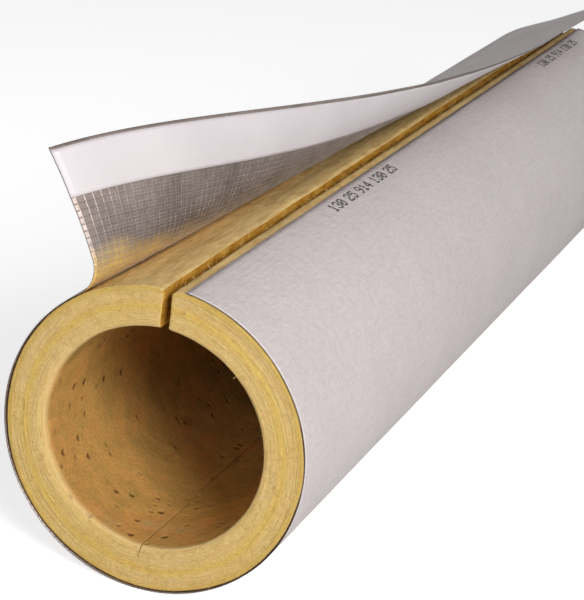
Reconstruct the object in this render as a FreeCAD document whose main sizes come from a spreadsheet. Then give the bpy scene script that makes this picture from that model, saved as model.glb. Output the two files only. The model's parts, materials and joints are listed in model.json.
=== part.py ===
import FreeCAD, Part
import math
import os

import Sketcher

# One length of hinged, one-piece moulded fibreglass pipe insulation with its all-service jacket.
#
# Frame: the origin is the centre of the bore at the near end. +Y runs along the tube to the far
# end, +Z points from the bore to the lengthwise slit, and +X is the side where the jacket ends
# short of the slit. The lap flap is the jacket's other edge, bent open: widely at the near end,
# and lying almost along the tube's tangent at the far end.

SIZES = {
    # The moulded section.
    "section_length": 914.4,
    "outer_diameter": 181.0,
    "bore_diameter": 131.0,
    # The outside is this far off the centre of the bore, so the wall is thickest underneath.
    "wall_shift_x": 0.0,
    "wall_shift_z": -0.5,
    # The slit goes right through the wall. Its outer lips are rounded.
    "slit_width": 4.0,
    "lip_radius": 3.0,
    # The hinge is a knife cut part of the way through the wall, opposite the slit.
    "hinge_cut_width": 1.0,
    "hinge_cut_depth": 7.0,
    # The jacket is one sheet, glued round the wool and left free as a lap flap.
    "jacket_thickness": 0.4,
    "glue_line": 0.1,
    # The bare wool each side of the slit. At the near end the flap is peeled back further.
    "bare_right": 10.6,
    "bare_left": 40.0,
    "bare_left_extra": 15.0,
    "extra_reach": 50.0,
    "glued_past_root": 4.0,
    # The flap turns up through this many degrees from root to free edge, at each end. The turn
    # fades from one to the other along the tube.
    "flap_width": 90.0,
    "open_near": 89.0,
    "open_far": 7.2,
    "open_reach": 430.0,
    "open_power": 2.4,
    # At the near end almost all of the turn is in a narrow bend at the root. Further along, the
    # bend widens to this far from the release liner, and the leaf beyond it takes most of the turn.
    "bend_near": 25.0,
    "bend_to_liner": 5.0,
    "leaf_share_near": 0.09,
    "leaf_share_far": 0.75,
    "spread_reach": 180.0,
    "spread_power": 1.12,
    # The release liner covers the adhesive along the flap's free edge, on its inner face.
    "liner_width": 28.0,
    "liner_thickness": 0.2,
    "liner_margin": 2.0,
    "liner_gap": 0.2,
}

STATIONS = 13               # sections that the flap is lofted through, evenly spaced
OVERRUN = 20.0              # how far a cutting sketch runs past the surface that it cuts
TOLERANCE = 0.01            # two lengths this close are taken as the same, in millimetres


def make_sheet(doc):
    sheet = doc.addObject("Spreadsheet::Sheet", "sizes")
    for row, (alias, value) in enumerate(SIZES.items(), start=1):
        sheet.set(f"A{row}", alias)
        sheet.set(f"B{row}", str(value))
        sheet.setAlias(f"B{row}", alias)
    doc.recompute()
    return sheet


def new_body(doc, name):
    body = doc.addObject("PartDesign::Body", name)
    body.Label = name
    body.Placement = FreeCAD.Placement()
    return body


def section_sketch(body, name, station_expression=None):
    """A sketch across the tube: its x is the part's X and its y is the part's Z."""
    sketch = body.newObject("Sketcher::SketchObject", name)
    planes = {plane.Role: plane for plane in body.Origin.OriginFeatures}
    sketch.AttachmentSupport = [(planes["XZ_Plane"], "")]
    sketch.MapMode = "FlatFace"
    if station_expression:
        # The plane's own normal points along -Y, away from the far end.
        sketch.setExpression(".AttachmentOffset.Base.z", f"-({station_expression})")
    return sketch


def dimension(sketch, name, expression, *constraint):
    """Add a driving dimension and bind it to the sheet."""
    index = sketch.addConstraint(Sketcher.Constraint(*constraint))
    sketch.renameConstraint(index, name)
    sketch.setExpression(f"Constraints.{name}", expression)


def pad_full_length(body, name, sketch):
    pad = body.newObject("PartDesign::Pad", name)
    pad.Profile = sketch
    pad.Reversed = True
    pad.setExpression("Length", "sizes.section_length")
    return pad


def pocket_full_length(body, name, sketch):
    pocket = body.newObject("PartDesign::Pocket", name)
    pocket.Profile = sketch
    pocket.setExpression("Length", "sizes.section_length")
    return pocket


# --- the moulded section ------------------------------------------------------------------------

def ring_sketch(body, sheet):
    sketch = section_sketch(body, "ring_section")
    centre = FreeCAD.Vector(sheet.wall_shift_x, sheet.wall_shift_z, 0)
    up = FreeCAD.Vector(0, 0, 1)
    bore = sketch.addGeometry(Part.Circle(FreeCAD.Vector(), up, sheet.bore_diameter / 2))
    outside = sketch.addGeometry(Part.Circle(centre, up, sheet.outer_diameter / 2))
    sketch.addConstraint(Sketcher.Constraint("Coincident", bore, 3, -1, 1))
    dimension(sketch, "bore", "sizes.bore_diameter", "Diameter", bore, sheet.bore_diameter)
    dimension(sketch, "outside", "sizes.outer_diameter", "Diameter", outside, sheet.outer_diameter)
    dimension(sketch, "shift_x", "sizes.wall_shift_x",
              "DistanceX", -1, 1, outside, 3, sheet.wall_shift_x)
    dimension(sketch, "shift_z", "sizes.wall_shift_z",
              "DistanceY", -1, 1, outside, 3, sheet.wall_shift_z)
    return sketch


def cut_sketch(body, name, width, bottom, top):
    """An upright rectangle centred on the bore's middle. Each size is (value, expression)."""
    sketch = section_sketch(body, name)
    half = width[0] / 2
    corners = [FreeCAD.Vector(-half, bottom[0], 0), FreeCAD.Vector(half, bottom[0], 0),
               FreeCAD.Vector(half, top[0], 0), FreeCAD.Vector(-half, top[0], 0)]
    low, right, high, left = sketch.addGeometry(
        [Part.LineSegment(corners[i], corners[(i + 1) % 4]) for i in range(4)])
    sides = (low, right, high, left)
    for side, following in zip(sides, sides[1:] + sides[:1]):
        sketch.addConstraint(Sketcher.Constraint("Coincident", side, 2, following, 1))
    for side, way in ((low, "Horizontal"), (high, "Horizontal"), (right, "Vertical"), (left, "Vertical")):
        sketch.addConstraint(Sketcher.Constraint(way, side))
    dimension(sketch, "width", width[1], "DistanceX", low, 1, low, 2, width[0])
    dimension(sketch, "half", f"({width[1]}) / 2", "DistanceX", -1, 1, low, 2, half)
    dimension(sketch, "bottom", bottom[1], "DistanceY", -1, 1, low, 1, bottom[0])
    dimension(sketch, "top", top[1], "DistanceY", -1, 1, high, 1, top[0])
    return sketch


def lip_edges(shape, sheet):
    """The two long edges where the slit breaks the outside of the tube."""
    shift_x, shift_z = sheet.wall_shift_x, sheet.wall_shift_z
    names = []
    for number, edge in enumerate(shape.Edges, start=1):
        middle = edge.BoundBox.Center
        reach = math.hypot(middle.x - shift_x, middle.z - shift_z)
        runs_along = edge.BoundBox.YLength > sheet.section_length / 2
        on_slit = abs(abs(middle.x) - sheet.slit_width / 2) < TOLERANCE and middle.z > 0
        if runs_along and on_slit and abs(reach - sheet.outer_diameter / 2) < TOLERANCE:
            names.append(f"Edge{number}")
    if len(names) != 2:
        raise RuntimeError(f"expected two slit lips, found {len(names)}")
    return names


def make_insulation(doc, sheet):
    body = new_body(doc, "insulation")
    pad_full_length(body, "tube", ring_sketch(body, sheet))

    bore_radius = sheet.bore_diameter / 2
    top = sheet.outer_diameter / 2 + sheet.wall_shift_z + OVERRUN
    slit = cut_sketch(body, "slit_section", (sheet.slit_width, "sizes.slit_width"), (0.0, "0"),
                      (top, f"sizes.outer_diameter / 2 + sizes.wall_shift_z + {OVERRUN}"))
    slit_cut = pocket_full_length(body, "slit", slit)

    depth = bore_radius + sheet.hinge_cut_depth
    hinge = cut_sketch(body, "hinge_section", (sheet.hinge_cut_width, "sizes.hinge_cut_width"),
                       (-depth, "-(sizes.bore_diameter / 2 + sizes.hinge_cut_depth)"), (0.0, "0"))
    hinge_cut = pocket_full_length(body, "hinge_cut", hinge)
    doc.recompute()

    for before, after in ((body.getObject("tube"), slit_cut), (slit_cut, hinge_cut)):
        if after.Shape.Volume >= before.Shape.Volume:
            raise RuntimeError(f"{after.Name} removes nothing")

    lips = body.newObject("PartDesign::Fillet", "lips")
    lips.Base = (hinge_cut, lip_edges(hinge_cut.Shape, sheet))
    lips.setExpression("Radius", "sizes.lip_radius")
    body.Tip = lips
    return body


# --- the jacket and its flap --------------------------------------------------------------------

def station_terms(number):
    """The shape of the flap at one station, as expressions on the sheet."""
    along = f"(sizes.section_length * {number} / {STATIONS - 1})"
    fade = f"exp(-pow({along} / sizes.open_reach; sizes.open_power))"
    spread = f"exp(-pow({along} / sizes.spread_reach; sizes.spread_power))"
    skin = "(sizes.outer_diameter / 2 + sizes.glue_line)"
    bare = f"(sizes.bare_left + sizes.bare_left_extra * exp(-{along} / sizes.extra_reach))"
    root = f"(90 + {bare} / {skin} * 180 / pi)"
    opened = f"(sizes.open_far + (sizes.open_near - sizes.open_far) * {fade})"
    bend_far = ("(sizes.flap_width - sizes.liner_margin - sizes.liner_width"
                " - sizes.bend_to_liner)")
    bend = f"({bend_far} + (sizes.bend_near - {bend_far}) * {spread})"
    share = ("(sizes.leaf_share_far"
             f" + (sizes.leaf_share_near - sizes.leaf_share_far) * {spread})")
    bend_turn = f"({opened} * (1 - {share}))"
    leaf_turn = f"({opened} * {share})"
    return {
        "along": along, "skin": skin, "root": root, "opened": opened, "bend_turn": bend_turn,
        "bend_radius": f"({bend} / {bend_turn} * 180 / pi)",
        "leaf_radius": f"((sizes.flap_width - {bend}) / {leaf_turn} * 180 / pi)",
    }


def station_values(sheet, number):
    """The same terms as numbers, which give each sketch its starting geometry."""
    along = sheet.section_length * number / (STATIONS - 1)
    fade = math.exp(-(along / sheet.open_reach) ** sheet.open_power)
    spread = math.exp(-(along / sheet.spread_reach) ** sheet.spread_power)
    skin = sheet.outer_diameter / 2 + sheet.glue_line
    bare = sheet.bare_left + sheet.bare_left_extra * math.exp(-along / sheet.extra_reach)
    opened = sheet.open_far + (sheet.open_near - sheet.open_far) * fade
    bend_far = (sheet.flap_width - sheet.liner_margin - sheet.liner_width
                - sheet.bend_to_liner)
    bend = bend_far + (sheet.bend_near - bend_far) * spread
    share = sheet.leaf_share_far + (sheet.leaf_share_near - sheet.leaf_share_far) * spread
    bend_turn = opened * (1 - share)
    leaf_turn = opened * share
    return {
        "along": along, "skin": skin, "root": 90 + math.degrees(bare / skin), "opened": opened,
        "bend_turn": bend_turn,
        "bend_radius": bend / math.radians(bend_turn),
        "leaf_radius": (sheet.flap_width - bend) / math.radians(leaf_turn),
    }


def polar(centre, radius, degrees):
    angle = math.radians(degrees)
    return centre + FreeCAD.Vector(radius * math.cos(angle), radius * math.sin(angle), 0)


def arc(centre, radius, start, end):
    circle = Part.Circle(centre, FreeCAD.Vector(0, 0, 1), radius)
    return Part.ArcOfCircle(circle, math.radians(start), math.radians(end))


def seam_term(terms):
    """The angle, left of the slit, where the glued wrap ends and the flap's loft begins."""
    past_root = "(sizes.bare_left + sizes.bare_left_extra + sizes.glued_past_root)"
    return f"(90 + {past_root} / {terms['skin']} * 180 / pi)"


def seam_value(sheet, skin):
    past_root = sheet.bare_left + sheet.bare_left_extra + sheet.glued_past_root
    return 90 + math.degrees(past_root / skin)


def wrap_sketch(body, sheet):
    """The glued part of the jacket: from its edge, round the bottom, to the seam with the flap."""
    terms = station_terms(0)
    skin = station_values(sheet, 0)["skin"]
    thick = sheet.jacket_thickness
    seam = seam_value(sheet, skin)
    edge = 90 - math.degrees(sheet.bare_right / skin) + 360
    centre = FreeCAD.Vector(sheet.wall_shift_x, sheet.wall_shift_z, 0)

    sketch = section_sketch(body, "wrap_section")
    inside, outside, edge_cap, seam_cap = sketch.addGeometry([
        arc(centre, skin, seam, edge),
        arc(centre, skin + thick, seam, edge),
        Part.LineSegment(polar(centre, skin, edge), polar(centre, skin + thick, edge)),
        Part.LineSegment(polar(centre, skin, seam), polar(centre, skin + thick, seam)),
    ])
    for constraint in (
        ("Coincident", outside, 3, inside, 3),
        ("Coincident", inside, 2, edge_cap, 1),
        ("Coincident", outside, 2, edge_cap, 2),
        ("Coincident", inside, 1, seam_cap, 1),
        ("Coincident", outside, 1, seam_cap, 2),
        ("PointOnObject", inside, 3, edge_cap),
        ("PointOnObject", inside, 3, seam_cap),
    ):
        sketch.addConstraint(Sketcher.Constraint(*constraint))
    dimension(sketch, "centre_x", "sizes.wall_shift_x",
              "DistanceX", -1, 1, inside, 3, sheet.wall_shift_x)
    dimension(sketch, "centre_z", "sizes.wall_shift_z",
              "DistanceY", -1, 1, inside, 3, sheet.wall_shift_z)
    dimension(sketch, "skin", terms["skin"], "Radius", inside, skin)
    dimension(sketch, "outside", f"{terms['skin']} + sizes.jacket_thickness",
              "Radius", outside, skin + thick)
    dimension(sketch, "edge", f"(90 - sizes.bare_right / {terms['skin']} * 180 / pi) * 1 deg",
              "Angle", edge_cap, math.radians(edge - 360))
    dimension(sketch, "seam", f"{seam_term(terms)} * 1 deg", "Angle", seam_cap, math.radians(seam))
    return sketch


def flap_centres(sheet, at):
    """The middles of the wrap, the bend and the leaf, and the angle where the bend ends."""
    wrap_centre = FreeCAD.Vector(sheet.wall_shift_x, sheet.wall_shift_z, 0)
    bend_centre = polar(wrap_centre, at["skin"] + at["bend_radius"], at["root"])
    bend_end = at["root"] - 180 + at["bend_turn"]
    leaf_centre = polar(bend_centre, at["bend_radius"] - at["leaf_radius"], bend_end)
    return wrap_centre, bend_centre, leaf_centre, bend_end


def flap_sketch(body, sheet, number):
    """The flap's section at one station: a glued start on the wool, the bend and the leaf."""
    terms = station_terms(number)
    at = station_values(sheet, number)
    thick = sheet.jacket_thickness
    skin, root, bend_radius, leaf_radius = (
        at["skin"], at["root"], at["bend_radius"], at["leaf_radius"])
    seam = seam_value(sheet, skin)
    free_edge = root - 180 + at["opened"]
    wrap_centre, bend_centre, leaf_centre, bend_end = flap_centres(sheet, at)

    sketch = section_sketch(body, f"flap_section_{number}", terms["along"])
    wrap_in, wrap_out, bend_in, bend_out, leaf_in, leaf_out, tip, seam_cap, spoke = sketch.addGeometry([
        arc(wrap_centre, skin, root, seam),
        arc(wrap_centre, skin + thick, root, seam),
        arc(bend_centre, bend_radius, root - 180, bend_end),
        arc(bend_centre, bend_radius - thick, root - 180, bend_end),
        arc(leaf_centre, leaf_radius, bend_end, free_edge),
        arc(leaf_centre, leaf_radius - thick, bend_end, free_edge),
        Part.LineSegment(polar(leaf_centre, leaf_radius, free_edge),
                         polar(leaf_centre, leaf_radius - thick, free_edge)),
        Part.LineSegment(polar(wrap_centre, skin, seam), polar(wrap_centre, skin + thick, seam)),
        Part.LineSegment(wrap_centre, bend_centre),
    ])
    bend_spoke = sketch.addGeometry(
        Part.LineSegment(polar(bend_centre, bend_radius, bend_end), bend_centre))
    for guide in (spoke, bend_spoke):
        sketch.setConstruction(guide, True)
    for constraint in (
        ("Coincident", wrap_out, 3, wrap_in, 3),
        ("Coincident", spoke, 1, wrap_in, 3),
        ("Coincident", spoke, 2, bend_in, 3),
        ("Coincident", bend_out, 3, bend_in, 3),
        ("Coincident", leaf_out, 3, leaf_in, 3),
        ("Coincident", bend_spoke, 1, bend_in, 2),
        ("Coincident", bend_spoke, 2, bend_in, 3),
        ("Tangent", wrap_in, 1, bend_in, 1),
        ("Tangent", wrap_out, 1, bend_out, 1),
        ("Tangent", bend_in, 2, leaf_in, 1),
        ("Tangent", bend_out, 2, leaf_out, 1),
        ("Coincident", leaf_in, 2, tip, 1),
        ("Coincident", leaf_out, 2, tip, 2),
        ("PointOnObject", leaf_in, 3, tip),
        ("Coincident", wrap_in, 2, seam_cap, 1),
        ("Coincident", wrap_out, 2, seam_cap, 2),
        ("PointOnObject", wrap_in, 3, seam_cap),
    ):
        sketch.addConstraint(Sketcher.Constraint(*constraint))
    dimension(sketch, "centre_x", "sizes.wall_shift_x",
              "DistanceX", -1, 1, wrap_in, 3, sheet.wall_shift_x)
    dimension(sketch, "centre_z", "sizes.wall_shift_z",
              "DistanceY", -1, 1, wrap_in, 3, sheet.wall_shift_z)
    dimension(sketch, "skin", terms["skin"], "Radius", wrap_in, skin)
    dimension(sketch, "outside", f"{terms['skin']} + sizes.jacket_thickness",
              "Radius", wrap_out, skin + thick)
    dimension(sketch, "bend", terms["bend_radius"], "Radius", bend_in, bend_radius)
    dimension(sketch, "leaf", terms["leaf_radius"], "Radius", leaf_in, leaf_radius)
    dimension(sketch, "seam", f"{seam_term(terms)} * 1 deg", "Angle", seam_cap, math.radians(seam))
    dimension(sketch, "root", f"{terms['root']} * 1 deg", "Angle", spoke, math.radians(root))
    dimension(sketch, "bend_end", f"({terms['root']} + {terms['bend_turn']}) * 1 deg",
              "Angle", bend_spoke, math.radians(bend_end + 180))
    dimension(sketch, "free_edge", f"({terms['root']} + {terms['opened']}) * 1 deg",
              "Angle", tip, math.radians(free_edge + 180))
    return sketch


def liner_sketch(body, sheet, number):
    """The liner's section at one station: a thin strip on the inner face of the leaf."""
    terms = station_terms(number)
    at = station_values(sheet, number)
    leaf_radius = at["leaf_radius"]
    face = leaf_radius + sheet.liner_gap
    high = at["root"] - 180 + at["opened"] - math.degrees(sheet.liner_margin / leaf_radius)
    low = high - math.degrees(sheet.liner_width / leaf_radius)
    wrap_centre, bend_centre, leaf_centre, bend_end = flap_centres(sheet, at)
    bend_foot = polar(bend_centre, at["bend_radius"], bend_end)

    sketch = section_sketch(body, f"liner_section_{number}", terms["along"])
    back, front, low_cap, high_cap, spoke, to_bend_end, to_leaf_centre = sketch.addGeometry([
        arc(leaf_centre, face, low, high),
        arc(leaf_centre, face + sheet.liner_thickness, low, high),
        Part.LineSegment(polar(leaf_centre, face + sheet.liner_thickness, low),
                         polar(leaf_centre, face, low)),
        Part.LineSegment(polar(leaf_centre, face + sheet.liner_thickness, high),
                         polar(leaf_centre, face, high)),
        Part.LineSegment(wrap_centre, bend_centre),
        Part.LineSegment(bend_foot, bend_centre),
        Part.LineSegment(bend_foot, leaf_centre),
    ])
    for guide in (spoke, to_bend_end, to_leaf_centre):
        sketch.setConstruction(guide, True)
    for constraint in (
        ("Coincident", front, 3, back, 3),
        ("Coincident", back, 1, low_cap, 2),
        ("Coincident", front, 1, low_cap, 1),
        ("Coincident", back, 2, high_cap, 2),
        ("Coincident", front, 2, high_cap, 1),
        ("PointOnObject", back, 3, low_cap),
        ("PointOnObject", back, 3, high_cap),
        ("Coincident", spoke, 2, to_bend_end, 2),
        ("Coincident", to_bend_end, 1, to_leaf_centre, 1),
        ("Coincident", to_leaf_centre, 2, back, 3),
    ):
        sketch.addConstraint(Sketcher.Constraint(*constraint))
    bend_end_term = f"({terms['root']} + {terms['bend_turn']}) * 1 deg"
    high_term = (f"({terms['root']} + {terms['opened']}"
                 f" - sizes.liner_margin / {terms['leaf_radius']} * 180 / pi)")
    dimension(sketch, "centre_x", "sizes.wall_shift_x",
              "DistanceX", -1, 1, spoke, 1, sheet.wall_shift_x)
    dimension(sketch, "centre_z", "sizes.wall_shift_z",
              "DistanceY", -1, 1, spoke, 1, sheet.wall_shift_z)
    dimension(sketch, "spoke", f"{terms['skin']} + {terms['bend_radius']}",
              "Distance", spoke, at["skin"] + at["bend_radius"])
    dimension(sketch, "root", f"{terms['root']} * 1 deg", "Angle", spoke, math.radians(at["root"]))
    dimension(sketch, "bend", terms["bend_radius"], "Distance", to_bend_end, at["bend_radius"])
    dimension(sketch, "bend_end", bend_end_term, "Angle", to_bend_end, math.radians(bend_end + 180))
    dimension(sketch, "leaf", terms["leaf_radius"], "Distance", to_leaf_centre, leaf_radius)
    dimension(sketch, "leaf_way", bend_end_term, "Angle", to_leaf_centre, math.radians(bend_end + 180))
    dimension(sketch, "back", f"{terms['leaf_radius']} + sizes.liner_gap", "Radius", back, face)
    dimension(sketch, "front", f"{terms['leaf_radius']} + sizes.liner_gap + sizes.liner_thickness",
              "Radius", front, face + sheet.liner_thickness)
    dimension(sketch, "high", f"{high_term} * 1 deg", "Angle", high_cap, math.radians(high + 180))
    dimension(sketch, "low", f"({high_term} - sizes.liner_width / {terms['leaf_radius']} * 180 / pi) * 1 deg",
              "Angle", low_cap, math.radians(low + 180))
    return sketch


def loft_along(doc, body, name, section, sheet):
    """A strip lofted through one section at each station along the tube."""
    sections = [section(body, sheet, number) for number in range(STATIONS)]
    doc.recompute()
    loft = body.newObject("PartDesign::AdditiveLoft", name)
    loft.Profile = sections[0]
    loft.Sections = sections[1:]
    body.Tip = loft
    return loft


def make_jacket(doc, sheet):
    body = new_body(doc, "jacket")
    pad_full_length(body, "wrap", wrap_sketch(body, sheet))
    loft_along(doc, body, "flap", flap_sketch, sheet)
    return body


def make_release_liner(doc, sheet):
    body = new_body(doc, "release_liner")
    loft_along(doc, body, "liner", liner_sketch, sheet)
    return body


# --- the model ----------------------------------------------------------------------------------

def check(doc, bodies):
    for item in doc.Objects:
        if {"Invalid", "Error"} & set(item.State):
            raise RuntimeError(f"{item.Name} failed: {item.State}")
        if item.TypeId == "Sketcher::SketchObject" and not item.FullyConstrained:
            raise RuntimeError(f"{item.Name} is not fully constrained")
    for body in bodies:
        shape = body.Shape
        if shape.isNull() or not shape.isValid() or len(shape.Solids) != 1:
            raise RuntimeError(f"{body.Label} is not one valid solid")
        print(f"{body.Label}: {shape.Volume:.0f} mm3, {len(shape.Faces)} faces")


def main():
    doc = FreeCAD.newDocument("pipe_insulation")
    sheet = make_sheet(doc)
    bodies = [
        make_insulation(doc, sheet),
        make_jacket(doc, sheet),
        make_release_liner(doc, sheet),
    ]
    doc.recompute()
    check(doc, bodies)
    os.makedirs("parts", exist_ok=True)
    for body in bodies:
        body.Shape.exportStep(f"parts/{body.Label}.step")


main()
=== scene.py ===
"""The looks of a hinged fibreglass pipe insulation section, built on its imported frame."""

import json
import math

import bmesh
import bpy
import numpy as np
from mathutils import Matrix, Vector


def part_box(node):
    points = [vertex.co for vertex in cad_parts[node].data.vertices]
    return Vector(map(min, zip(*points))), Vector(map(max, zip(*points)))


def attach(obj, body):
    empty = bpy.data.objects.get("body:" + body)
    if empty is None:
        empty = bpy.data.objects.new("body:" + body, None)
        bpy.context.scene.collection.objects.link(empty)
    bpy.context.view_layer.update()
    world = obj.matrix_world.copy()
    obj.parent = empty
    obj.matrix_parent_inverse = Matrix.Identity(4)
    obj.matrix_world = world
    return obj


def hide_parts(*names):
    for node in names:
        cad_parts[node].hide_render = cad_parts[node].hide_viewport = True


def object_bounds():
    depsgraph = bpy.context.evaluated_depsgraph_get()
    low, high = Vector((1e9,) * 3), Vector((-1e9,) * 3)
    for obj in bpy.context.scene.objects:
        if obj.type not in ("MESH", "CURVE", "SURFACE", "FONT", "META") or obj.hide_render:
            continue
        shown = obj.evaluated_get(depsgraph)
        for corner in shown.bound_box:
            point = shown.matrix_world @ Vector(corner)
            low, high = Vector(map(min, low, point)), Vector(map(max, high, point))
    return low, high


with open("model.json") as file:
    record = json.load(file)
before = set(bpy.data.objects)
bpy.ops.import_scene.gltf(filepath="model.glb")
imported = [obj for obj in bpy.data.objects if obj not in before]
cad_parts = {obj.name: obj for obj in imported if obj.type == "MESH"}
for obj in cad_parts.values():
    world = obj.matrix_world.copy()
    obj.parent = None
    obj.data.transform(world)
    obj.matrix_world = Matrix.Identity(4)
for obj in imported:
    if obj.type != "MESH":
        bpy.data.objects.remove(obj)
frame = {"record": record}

bl_info = {
    "name": "Pipe insulation section",
    "version": (1, 0, 0),
    "blender": (4, 5, 0),
    "location": "3D View > Sidebar > Insulation",
    "description": "Builds a moulded fibreglass pipe section with its jacket, flap and liner",
    "category": "Object",
}

MM = 0.001
ROOT_BODY = "root"
CAD_BOX = [list(corner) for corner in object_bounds()]
WOOL_LOW, WOOL_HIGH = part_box("insulation")
TUBE_LENGTH = WOOL_HIGH[1] - WOOL_LOW[1]
TUBE_RADIUS = (WOOL_HIGH[0] - WOOL_LOW[0]) / 2
TUBE_CENTRE = ((WOOL_HIGH[0] + WOOL_LOW[0]) / 2, WOOL_LOW[2] + TUBE_RADIUS)
BORE_RADIUS = next(m for m in frame["record"]["mounts"] if m["name"] == "bore")["dims"]["r_mm"] * MM
FULL_TURN = 2 * math.pi


def srgb(red, green, blue):
    """A colour given as 0-255 screen values, as the linear values that a shader takes."""
    def linear(value):
        value /= 255
        return value / 12.92 if value <= 0.04045 else ((value + 0.055) / 1.055) ** 2.4
    return tuple(linear(value) for value in (red, green, blue))


# --- settings -----------------------------------------------------------------------------------

def length(name, text, default):
    return bpy.props.FloatProperty(name=name, description=text, default=default,
                                   unit="LENGTH", precision=5)


def number(name, text, default):
    return bpy.props.FloatProperty(name=name, description=text, default=default, precision=4)


def count(name, text, default):
    return bpy.props.IntProperty(name=name, description=text, default=default, min=1)


def colour(name, text, default):
    return bpy.props.FloatVectorProperty(name=name, description=text, default=default,
                                         subtype="COLOR", size=3, min=0, max=1)


class WoolSettings(bpy.types.PropertyGroup):
    slit: length("Slit", "Width of the lengthwise slit", 4 * MM)
    hinge_depth: length("Hinge cut", "Depth of the knife cut opposite the slit", 7 * MM)
    hinge_width: length("Hinge cut width", "Width of the knife cut at its mouth", 1.2 * MM)
    lip_round: length("Lip rounding", "Rounding of the slit's outer lips", 4.5 * MM)
    inner_rim: length("Inner rim", "Rounding of the bore's rim", 3.6 * MM)
    rim_swell: number("Rim swell", "Extra rounding of the bore's left rim, as a share", 0.9)
    outer_rim: length("Outer rim", "Rounding of the outside rim", 1.3 * MM)
    columns: count("Columns", "Mesh columns round the section", 196)
    rows: count("Rows", "Mesh rows along the section", 176)
    cut: colour("Cut wool", "Colour of the sawn ends", srgb(226, 200, 140))
    band: colour("Dense band", "Colour of the denser yellow layers", srgb(226, 196, 104))
    skin: colour("Outside wool", "Colour of the wool's outside", srgb(236, 204, 140))
    bore: colour("Bore wool", "Colour of the cured bore", srgb(216, 166, 92))


class JacketSettings(bpy.types.PropertyGroup):
    thickness: length("Thickness", "Thickness of the laminate", 0.4 * MM)
    glue: length("Glue line", "Gap between the wool and the jacket", 0.1 * MM)
    bare_right: length("Bare right", "Bare wool right of the slit", 10.6 * MM)
    bare_left: length("Bare left", "Bare wool left of the slit", 40 * MM)
    bare_extra: length("Peeled back", "Further bare wool at the near end", 15 * MM)
    extra_reach: length("Peel reach", "How far along the peel fades", 50 * MM)
    flap: length("Flap", "Width of the flap", 90 * MM)
    open_near: number("Open near", "Turn of the flap at the near end, in degrees", 89)
    open_far: number("Open far", "Turn of the flap at the far end, in degrees", 7.2)
    open_reach: length("Open reach", "How far along the opening fades", 430 * MM)
    open_power: number("Open power", "How suddenly the opening fades", 2.4)
    bend_near: length("Bend near", "Width of the bend at the near end", 25 * MM)
    bend_far: length("Bend far", "Width of the bend at the far end", 55 * MM)
    share_near: number("Leaf share near", "Share of the turn in the leaf, near end", 0.09)
    share_far: number("Leaf share far", "Share of the turn in the leaf, far end", 0.75)
    spread_reach: length("Spread reach", "How far along the bend widens", 180 * MM)
    spread_power: number("Spread power", "How suddenly the bend widens", 1.12)
    rows: count("Rows", "Mesh rows along the jacket", 210)
    paper: colour("Paper", "Colour of the outer kraft paper", srgb(216, 206, 205))
    foil: colour("Foil", "Colour of the foil on the inner face", srgb(146, 133, 127))
    yarn: colour("Yarn", "Colour of the scrim's glass yarns", srgb(178, 168, 162))
    # Painted reflection: the yellow of the wool seen in the foil beside the flap's root.
    reflection: colour("Wool dust", "Colour of the wool dust at the flap's root", srgb(222, 186, 110))
    # The cut edge's colour is also darkened as a painted contact shadow.
    edge: colour("Cut edge", "Colour of the laminate's cut edge", srgb(120, 110, 98))


class LinerSettings(bpy.types.PropertyGroup):
    width: length("Width", "Width of the release liner", 28 * MM)
    margin: length("Margin", "Bare strip beside the free edge", 2 * MM)
    thickness: length("Thickness", "Thickness of the liner", 0.2 * MM)
    gap: length("Adhesive", "Thickness of the adhesive under the liner", 0.12 * MM)
    paper: colour("Liner", "Colour of the coated liner", srgb(214, 206, 208))


class ScrimSettings(bpy.types.PropertyGroup):
    along: length("Pitch along", "Distance between the yarns along the tube", 4.7 * MM)
    across: length("Pitch across", "Distance between the yarns across the flap", 3.9 * MM)
    radius: length("Yarn radius", "Half the thickness of a yarn", 0.12 * MM)


class PrintSettings(bpy.types.PropertyGroup):
    digits: bpy.props.StringProperty(name="Digits", description="Plain numbers in the print",
                                     default="130 25 914 130 25")
    start: length("Start", "Where the first print starts along the tube", 210 * MM)
    repeat: length("Repeat", "Distance from one print to the next", 526 * MM)
    from_edge: length("From edge", "Distance from the jacket's edge to the print", 6.2 * MM)
    dot: length("Dot", "Distance between the dots down a digit", 1.1 * MM)
    stretch: number("Stretch", "How much wider apart the dots are along the tube", 1.22)
    ink: colour("Ink", "Colour of the ink", srgb(62, 58, 62))


class FibreSettings(bpy.types.PropertyGroup):
    density: count("Density", "Loose tufts on a square metre of torn wool", 90000)
    radius: length("Fibre radius", "Half the thickness of a tuft of fibres", 0.09 * MM)
    reach: length("Fibre length", "Length of a loose tuft", 2.6 * MM)


class StageSettings(bpy.types.PropertyGroup):
    lens: number("Lens", "Focal length on a 36 mm sensor", 129.8)
    yaw: number("Yaw", "Turn of the camera from the tube's axis, in degrees", -18.16)
    pitch: number("Pitch", "Tilt of the camera below level, in degrees", -19.18)
    roll: number("Roll", "Turn of the picture, in degrees", 7.54)
    floor: colour("Floor", "Colour of the floor", (0.9, 0.9, 0.9))


# --- shared making ------------------------------------------------------------------------------

def settings(name):
    return getattr(bpy.context.scene, "insulation_" + name)


def smooth_noise(points, size, seed=0):
    """Value noise from -1 to 1 at an array of points. size is the size of its lumps, per axis."""
    cell = np.asarray(points) / np.asarray(size)
    low = np.floor(cell).astype(np.int64)
    part = cell - low
    part = part * part * (3 - 2 * part)
    total = np.zeros(len(cell))
    for corner in range(8):
        step = np.array([corner & 1, corner >> 1 & 1, corner >> 2 & 1])
        at = low + step
        mixed = at[:, 0] * 73856093 ^ at[:, 1] * 19349663 ^ at[:, 2] * 83492791 ^ (seed + 7) * 2654435
        mixed = (mixed ^ mixed >> 13) * 1274126177 & 0xFFFFFFFF
        value = (mixed >> 8 & 0xFFFF) / 32767.5 - 1
        weight = np.prod(np.where(step, part, 1 - part), axis=1)
        total += value * weight
    return total


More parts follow.
